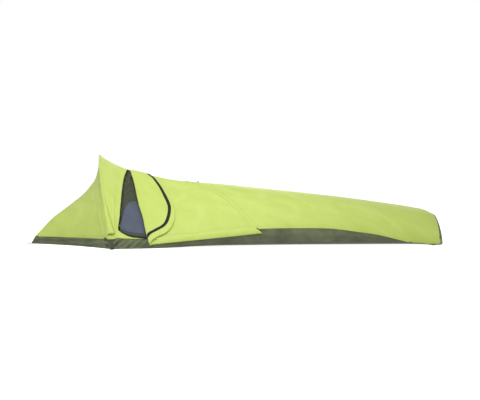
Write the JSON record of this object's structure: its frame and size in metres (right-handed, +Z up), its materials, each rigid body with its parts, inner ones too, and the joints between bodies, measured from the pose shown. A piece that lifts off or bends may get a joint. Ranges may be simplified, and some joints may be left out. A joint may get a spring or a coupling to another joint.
{
  "type": "bivvy tent",
  "caption": "One person hooped bivvy tent, lime canopy over an olive tub floor, with a side door whose front corner is folded back.",
  "frame": {"origin": "middle of the length and width, on the ground", "axes": "+X towards the foot end, -Y the door side, +Z up"},
  "size_m": [3.0453, 0.9096, 0.6452],
  "materials": {
    "lime_cloth": "lime waterproof cloth, softly shiny",
    "olive_cloth": "dark olive coated floor cloth",
    "zip_tape": "black woven zip tape",
    "net": "fine dark insect net",
    "slate_cloth": "slate grey plain weave",
    "webbing": "olive woven webbing",
    "pole_alloy": "plain tent pole alloy",
    "slider_metal": "black painted zip metal",
    "tip_plastic": "black moulded plastic"
  },
  "bodies": {
    "shell": {"groundsheet": "olive_cloth", "tub_wall_near": "olive_cloth", "tub_wall_far": "olive_cloth", "tub_bow_wall_near": "olive_cloth", "tub_bow_wall_far": "olive_cloth", "bow_panel_near": "lime_cloth", "bow_panel_far": "lime_cloth", "hoop_panel": "lime_cloth", "rear_panel": "lime_cloth", "far_panel": "lime_cloth", "foot_panel": "olive_cloth", "hoop_sleeve": "lime_cloth", "pole_leg_near": "pole_alloy", "pole_crown_near": "pole_alloy", "pole_crown_far": "pole_alloy", "pole_leg_far": "pole_alloy", "pole_ferrule_near": "pole_alloy", "pole_ferrule_crown": "pole_alloy", "pole_ferrule_far": "pole_alloy", "pole_tip_near": "tip_plastic", "pole_tip_far": "tip_plastic", "pole_pocket_near": "olive_cloth", "pole_pocket_far": "olive_cloth", "sleeve_tab_near": "lime_cloth", "sleeve_tab_far": "lime_cloth", "foot_stay": "slider_metal", "stay_pocket_near": "olive_cloth", "stay_pocket_far": "olive_cloth", "front_zip_tape": "zip_tape", "sill_zip_tape": "zip_tape", "bottom_zip_tape": "zip_tape", "rear_zip_tape": "zip_tape", "ridge_loop": "webbing", "bow_peg_loop": "webbing", "hoop_peg_loop_near": "webbing", "hoop_peg_loop_far": "webbing", "foot_peg_loop_near": "webbing", "foot_peg_loop_far": "webbing"},
    "door": {"door_panel": "lime_cloth", "rear_storm_flap": "lime_cloth"},
    "flap": {"door_flap": "lime_cloth", "flap_zip_tape": "zip_tape", "flap_storm_strip": "lime_cloth"},
    "hem": {"door_hem": "lime_cloth"},
    "screen": {"screen_mesh": "net", "screen_panel": "slate_cloth", "screen_border": "olive_cloth", "screen_zip_tape": "zip_tape"},
    "door_slider": {"door_slider": "slider_metal"},
    "door_pull": {"door_pull": "slider_metal"},
    "screen_slider": {"screen_slider": "slider_metal"},
    "screen_pull": {"screen_pull": "slider_metal"}
  },
  "joints": [
    {"name": "door_fold", "type": "hinge", "parent": "shell", "child": "door", "pos_m": [-0.35029, 0, 0.45578], "axis": [-0.9818, 0, 0.19], "range_deg": [0, 180]},
    {"name": "flap_fold", "type": "hinge", "parent": "door", "child": "flap", "pos_m": [-0.63111, -0.40035, 0.06491], "axis": [0.2284, -0.6308, -0.7416], "range_deg": [0, 115]},
    {"name": "hem_lift", "type": "hinge", "parent": "door", "child": "hem", "pos_m": [0.0816, -0.33134, 0.15285], "axis": [-0.9932, -0.0739, -0.0896], "range_deg": [0, 60]},
    {"name": "screen_fold", "type": "hinge", "parent": "shell", "child": "screen", "pos_m": [-0.35029, -0.02, 0.42478], "axis": [-0.9818, 0, 0.19], "range_deg": [0, 66]},
    {"name": "door_zip", "type": "slide", "parent": "shell", "child": "door_slider", "axis": [0.9935, 0.0844, 0.0763], "range_m": [0, 0.66]},
    {"name": "door_pull_swing", "type": "hinge", "parent": "door_slider", "child": "door_pull", "pos_m": [-0.56558, -0.40272, 0.05525], "axis": [-1, 0, 0], "range_deg": [0, 60]},
    {"name": "screen_zip", "type": "slide", "parent": "screen", "child": "screen_slider", "axis": [0.9939, 0.0737, 0.0817], "range_m": [0, 0.74]},
    {"name": "screen_pull_swing", "type": "hinge", "parent": "screen_slider", "child": "screen_pull", "pos_m": [-0.63329, -0.36976, 0.07651], "axis": [-0.9939, -0.0737, -0.0817], "range_deg": [0, 140]}
  ],
  "couplings": [
    {"joint": "screen_fold", "follows": "door_fold", "ratio": 0.36},
    {"joint": "screen_pull_swing", "follows": "door_fold", "ratio": 0.75},
    {"joint": "door_pull_swing", "follows": "hem_lift", "ratio": 1}
  ]
}
